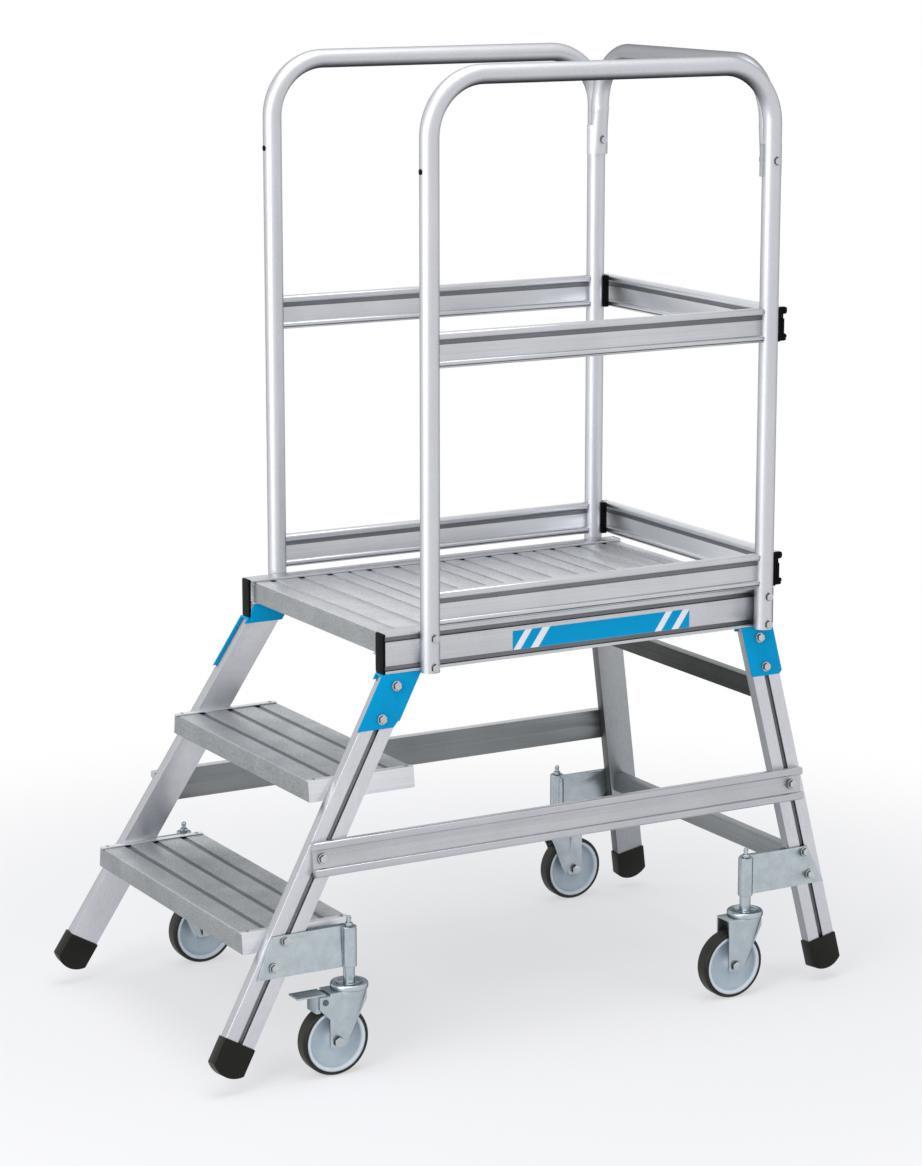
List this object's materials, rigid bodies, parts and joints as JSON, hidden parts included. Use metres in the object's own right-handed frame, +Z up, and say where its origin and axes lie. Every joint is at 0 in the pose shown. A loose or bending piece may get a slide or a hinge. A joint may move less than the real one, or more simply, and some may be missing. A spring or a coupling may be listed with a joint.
{
  "type": "podium step",
  "caption": "Mobile aluminium podium step: splayed legs, grooved treads and deck, bent-tube guardrail on three sides, and sprung swivel castors that let the feet down under load.",
  "frame": {"origin": "on the floor under the castor wheels, at the middle of the footprint", "axes": "+Z up, +Y the way a person climbs, +X the climber's right hand"},
  "size_m": [0.7286, 1.2862, 1.702],
  "materials": {
    "aluminium": "satin extruded and drawn aluminium",
    "deck_aluminium": "mill-finish grooved extrusion, drawn along its length",
    "zinc_steel": "bright zinc-plated steel",
    "bolt_steel": "zinc-plated bolts and rivets",
    "blue_paint": "satin blue paint",
    "black_plastic": "moulded black plastic",
    "foot_rubber": "moulded black rubber",
    "tyre": "dull black rubber tyre",
    "hub_plastic": "light blue-grey moulded plastic"
  },
  "bodies": {
    "frame": {"beam_left": "aluminium", "beam_right": "aluminium", "front_leg_left": "aluminium", "front_leg_right": "aluminium", "rear_leg_left": "aluminium", "rear_leg_right": "aluminium", "side_brace_left": "aluminium", "side_brace_right": "aluminium", "rear_brace_upper": "aluminium", "rear_brace_lower": "aluminium", "tread_end_plates": "aluminium", "side_rail_left": "aluminium", "side_rail_right": "aluminium", "knee_rail_left": "aluminium", "knee_rail_right": "aluminium", "toe_board_left": "aluminium", "toe_board_right": "aluminium", "rear_handrail": "aluminium", "rear_knee_rail": "aluminium", "rear_toe_board": "aluminium", "deck_planks": "deck_aluminium", "deck_edge_planks": "deck_aluminium", "tread_lower": "deck_aluminium", "tread_upper": "deck_aluminium", "slot_bolts": "bolt_steel", "tread_rivets": "bolt_steel", "guardrail_bolts": "bolt_steel", "leg_brackets": "blue_paint", "beam_plugs": "black_plastic", "rail_end_caps": "black_plastic", "rail_saddles": "black_plastic", "feet": "foot_rubber", "castor_brackets_front": "zinc_steel", "castor_brackets_rear": "zinc_steel"},
    "stem_front_left": {"stem_front_left": "zinc_steel", "spring_front_left": "bolt_steel"},
    "fork_front_left": {"fork_front_left": "zinc_steel", "axle_front_left": "bolt_steel"},
    "wheel_front_left": {"wheel_front_left": "hub_plastic", "tyre_front_left": "tyre"},
    "stem_front_right": {"stem_front_right": "zinc_steel", "spring_front_right": "bolt_steel"},
    "fork_front_right": {"fork_front_right": "zinc_steel", "axle_front_right": "bolt_steel"},
    "wheel_front_right": {"wheel_front_right": "hub_plastic", "tyre_front_right": "tyre"},
    "stem_rear_left": {"stem_rear_left": "zinc_steel", "spring_rear_left": "bolt_steel"},
    "fork_rear_left": {"fork_rear_left": "zinc_steel", "axle_rear_left": "bolt_steel"},
    "wheel_rear_left": {"wheel_rear_left": "hub_plastic", "tyre_rear_left": "tyre"},
    "stem_rear_right": {"stem_rear_right": "zinc_steel", "spring_rear_right": "bolt_steel"},
    "fork_rear_right": {"fork_rear_right": "zinc_steel", "axle_rear_right": "bolt_steel"},
    "wheel_rear_right": {"wheel_rear_right": "hub_plastic", "tyre_rear_right": "tyre"},
    "pedal_left": {"pedal_left": "zinc_steel"},
    "pedal_right": {"pedal_right": "zinc_steel"}
  },
  "joints": [
    {"name": "front_left_spring_slide", "type": "slide", "parent": "frame", "child": "stem_front_left", "axis": [0, 0, 1], "range_m": [0, 0.026], "stiffness_N_per_m": 3000, "springref_m": -0.035, "deforming": ["spring_front_left"]},
    {"name": "front_left_swivel", "type": "hinge", "parent": "stem_front_left", "child": "fork_front_left", "pos_m": [-0.33134, -0.38041, 0.15], "axis": [0, 0, 1], "continuous": true},
    {"name": "front_left_wheel_spin", "type": "hinge", "parent": "fork_front_left", "child": "wheel_front_left", "pos_m": [-0.33134, -0.34841, 0.0625], "axis": [1, 0, 0], "continuous": true},
    {"name": "left_brake_pedal", "type": "hinge", "parent": "fork_front_left", "child": "pedal_left", "pos_m": [-0.33134, -0.32441, 0.136], "axis": [1, 0, 0], "range_deg": [0, 8]},
    {"name": "front_right_spring_slide", "type": "slide", "parent": "frame", "child": "stem_front_right", "axis": [0, 0, 1], "range_m": [0, 0.026], "stiffness_N_per_m": 3000, "springref_m": -0.035, "deforming": ["spring_front_right"]},
    {"name": "front_right_swivel", "type": "hinge", "parent": "stem_front_right", "child": "fork_front_right", "pos_m": [0.33134, -0.38041, 0.15], "axis": [0, 0, 1], "continuous": true},
    {"name": "front_right_wheel_spin", "type": "hinge", "parent": "fork_front_right", "child": "wheel_front_right", "pos_m": [0.33134, -0.41241, 0.0625], "axis": [1, 0, 0], "continuous": true},
    {"name": "right_brake_pedal", "type": "hinge", "parent": "fork_front_right", "child": "pedal_right", "pos_m": [0.33134, -0.43641, 0.136], "axis": [-1, 0, 0], "range_deg": [0, 8]},
    {"name": "rear_left_spring_slide", "type": "slide", "parent": "frame", "child": "stem_rear_left", "axis": [0, 0, 1], "range_m": [0, 0.02], "stiffness_N_per_m": 3000, "springref_m": -0.035, "deforming": ["spring_rear_left"]},
    {"name": "rear_left_swivel", "type": "hinge", "parent": "stem_rear_left", "child": "fork_rear_left", "pos_m": [-0.33134, 0.43711, 0.15], "axis": [0, 0, 1], "continuous": true},
    {"name": "rear_left_wheel_spin", "type": "hinge", "parent": "fork_rear_left", "child": "wheel_rear_left", "pos_m": [-0.33134, 0.46911, 0.0625], "axis": [1, 0, 0], "continuous": true},
    {"name": "rear_right_spring_slide", "type": "slide", "parent": "frame", "child": "stem_rear_right", "axis": [0, 0, 1], "range_m": [0, 0.02], "stiffness_N_per_m": 3000, "springref_m": -0.035, "deforming": ["spring_rear_right"]},
    {"name": "rear_right_swivel", "type": "hinge", "parent": "stem_rear_right", "child": "fork_rear_right", "pos_m": [0.33134, 0.43711, 0.15], "axis": [0, 0, 1], "continuous": true},
    {"name": "rear_right_wheel_spin", "type": "hinge", "parent": "fork_rear_right", "child": "wheel_rear_right", "pos_m": [0.33134, 0.40511, 0.0625], "axis": [1, 0, 0], "continuous": true}
  ]
}
